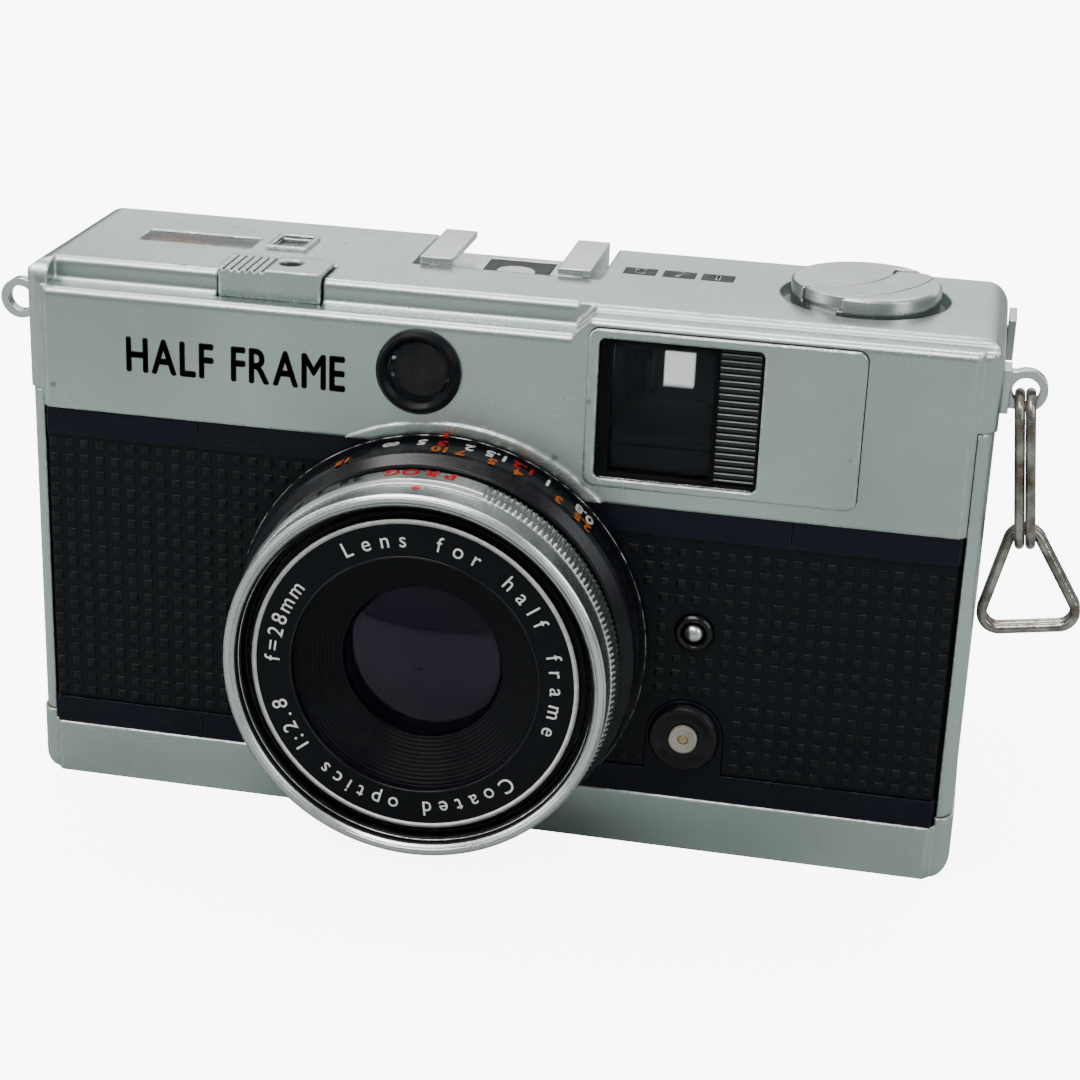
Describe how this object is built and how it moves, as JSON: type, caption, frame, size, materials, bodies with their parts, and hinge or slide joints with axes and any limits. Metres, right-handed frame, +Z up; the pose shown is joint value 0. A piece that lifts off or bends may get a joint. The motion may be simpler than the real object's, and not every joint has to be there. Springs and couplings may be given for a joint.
{
  "type": "half frame film camera",
  "caption": "Half frame film camera with satin chrome covers, black grained front, fixed lens with black focusing ring, fold-flat rewind crank, accessory shoe and strap ring",
  "frame": {"origin": "Middle of the base face, at the mouth of the tripod socket: half way across the covers and half way between the front face and the back of the top cover", "axes": "+X towards the rewind side, -Y out of the lens, +Z up through the top plate"},
  "size_m": [0.1331, 0.0459, 0.0691],
  "materials": {
    "casting": "dull die-cast alloy, blackened inside",
    "satin_chrome": "satin chrome plate, lightly worn",
    "leatherette": "black grained vinyl with small square studs",
    "dark_trim": "blue black enamel",
    "coated_glass": "coated optical glass",
    "ribbed_plastic": "dark ribbed window",
    "black_plastic": "black moulding",
    "cell_ceramic": "cadmium sulphide on ceramic",
    "clear_window": "clear window",
    "orange_paint": "orange and grey zones",
    "machined_metal": "turned metal",
    "black_paint": "black anodised or painted",
    "polished_steel": "bright plate",
    "ivory_plastic": "off white moulding",
    "brass": "plain brass",
    "worn_wire": "plated wire, browned with age",
    "blade_steel": "thin blued blades",
    "spring_steel": "spring strip"
  },
  "bodies": {
    "camera": {"body_casting": "casting", "top_cover": "satin_chrome", "bottom_cover": "satin_chrome", "side_caps": "satin_chrome", "front_covering": "leatherette", "upper_trims": "dark_trim", "lower_trims": "dark_trim", "finder_frame": "satin_chrome", "finder_window": "coated_glass", "frameline_window": "ribbed_plastic", "finder_housing": "black_plastic", "eyepiece": "black_plastic", "cell_ring": "dark_trim", "cell_glass": "coated_glass", "light_cell": "cell_ceramic", "readout_window": "clear_window", "readout_plate": "orange_paint", "meter_movement": "machined_metal", "speed_window": "satin_chrome", "speed_plate": "black_paint", "shoe_rails": "polished_steel", "shoe_insulator": "black_plastic", "shoe_contact": "polished_steel", "sync_flange": "black_plastic", "sync_insulator": "ivory_plastic", "sync_pin": "brass", "catch_ring": "black_paint", "strap_lugs": "polished_steel", "tripod_socket": "machined_metal", "base_screws": "polished_steel", "battery": "polished_steel", "battery_cap": "machined_metal", "counter_window": "clear_window", "lens_base": "polished_steel", "lens_barrel": "polished_steel", "name_ring": "black_paint", "front_glass": "coated_glass", "rear_glass": "coated_glass", "shutter_housing": "black_paint", "door_hinge": "polished_steel"},
    "needle": {"meter_needle": "black_paint"},
    "catch": {"catch_button": "polished_steel"},
    "link": {"strap_link": "worn_wire"},
    "ring": {"strap_ring": "worn_wire"},
    "counter": {"counter_dial": "ivory_plastic"},
    "focus": {"focus_ring": "black_paint"},
    "aperture": {"aperture_ring": "polished_steel"},
    "blade_a": {"shutter_blade_a": "blade_steel"},
    "blade_b": {"shutter_blade_b": "blade_steel"},
    "release": {"release_button": "satin_chrome"},
    "wheel": {"thumb_wheel": "machined_metal"},
    "sprockets": {"sprocket": "machined_metal"},
    "spool": {"takeup_spool": "black_plastic"},
    "knob": {"rewind_knob": "polished_steel"},
    "crank": {"rewind_crank": "polished_steel"},
    "door": {"back_door": "satin_chrome", "door_covering": "leatherette", "pressure_spring": "spring_steel"},
    "plate": {"pressure_plate": "black_paint"},
    "latch": {"door_latch": "polished_steel"}
  },
  "joints": [
    {"name": "needle_swing", "type": "hinge", "parent": "camera", "child": "needle", "pos_m": [-0.041, -0.0055, 0.062], "axis": [0, 0, 1], "range_deg": [-35, 35], "stiffness_Nm_per_rad": 0.00001},
    {"name": "catch_press", "type": "slide", "parent": "camera", "child": "catch", "axis": [0, 1, 0], "range_m": [0, 0.0012], "stiffness_N_per_m": 150, "springref_m": -0.001},
    {"name": "focus_turn", "type": "hinge", "parent": "camera", "child": "focus", "pos_m": [-0.0055, -0.016, 0.0254], "axis": [0, -1, 0], "range_deg": [-14, 52]},
    {"name": "aperture_turn", "type": "hinge", "parent": "camera", "child": "aperture", "pos_m": [-0.0055, -0.022, 0.0254], "axis": [0, -1, 0], "range_deg": [-40, 40]},
    {"name": "blade_a_open", "type": "hinge", "parent": "camera", "child": "blade_a", "pos_m": [-0.0127, -0.0138, 0.0369], "axis": [0, -1, 0], "range_deg": [-38, 0]},
    {"name": "blade_b_open", "type": "hinge", "parent": "camera", "child": "blade_b", "pos_m": [0.0017, -0.0138, 0.0369], "axis": [0, -1, 0], "range_deg": [0, 38]},
    {"name": "release_press", "type": "slide", "parent": "camera", "child": "release", "axis": [0, 0, -1], "range_m": [0, 0.002], "stiffness_N_per_m": 200, "springref_m": -0.002},
    {"name": "wheel_turn", "type": "hinge", "parent": "camera", "child": "wheel", "pos_m": [-0.041, 0.0063, 0.054], "axis": [0, 0, 1], "continuous": true},
    {"name": "sprocket_turn", "type": "hinge", "parent": "camera", "child": "sprockets", "pos_m": [-0.0245, 0.0036, 0.0254], "axis": [0, 0, 1], "continuous": true},
    {"name": "spool_turn", "type": "hinge", "parent": "camera", "child": "spool", "pos_m": [-0.042, 0.0029, 0.0254], "axis": [0, 0, 1], "continuous": true},
    {"name": "counter_turn", "type": "hinge", "parent": "camera", "child": "counter", "pos_m": [-0.042, 0.0029, 0.0016], "axis": [0, 0, 1], "continuous": true},
    {"name": "rewind_turn", "type": "hinge", "parent": "camera", "child": "knob", "pos_m": [0.0412, 0.0029, 0.066], "axis": [0, 0, 1], "continuous": true},
    {"name": "crank_unfold", "type": "hinge", "parent": "knob", "child": "crank", "pos_m": [0.0412, 0.0081, 0.0684], "axis": [1, 0, 0], "range_deg": [-100, 0]},
    {"name": "door_swing", "type": "hinge", "parent": "camera", "child": "door", "pos_m": [-0.057, 0.0146, 0.025], "axis": [0, 0, 1], "range_deg": [0, 115]},
    {"name": "plate_float", "type": "slide", "parent": "door", "child": "plate", "axis": [0, 1, 0], "range_m": [0, 0.0005], "stiffness_N_per_m": 400, "springref_m": -0.001},
    {"name": "latch_lift", "type": "slide", "parent": "camera", "child": "latch", "axis": [0, 0, 1], "range_m": [0, 0.0025], "stiffness_N_per_m": 100, "springref_m": -0.002},
    {"name": "link_swing", "type": "hinge", "parent": "camera", "child": "link", "pos_m": [0.0607, -0.0074, 0.0607], "axis": [0, 1, 0], "range_deg": [-70, 0]},
    {"name": "ring_swing", "type": "hinge", "parent": "link", "child": "ring", "pos_m": [0.06262, -0.0074, 0.0419], "axis": [0, 1, 0], "range_deg": [-60, 0]}
  ],
  "couplings": [
    {"joint": "sprocket_turn", "follows": "wheel_turn", "ratio": 1},
    {"joint": "spool_turn", "follows": "wheel_turn", "ratio": 1},
    {"joint": "counter_turn", "follows": "wheel_turn", "ratio": 0.05},
    {"joint": "blade_b_open", "follows": "blade_a_open", "ratio": -1}
  ]
}
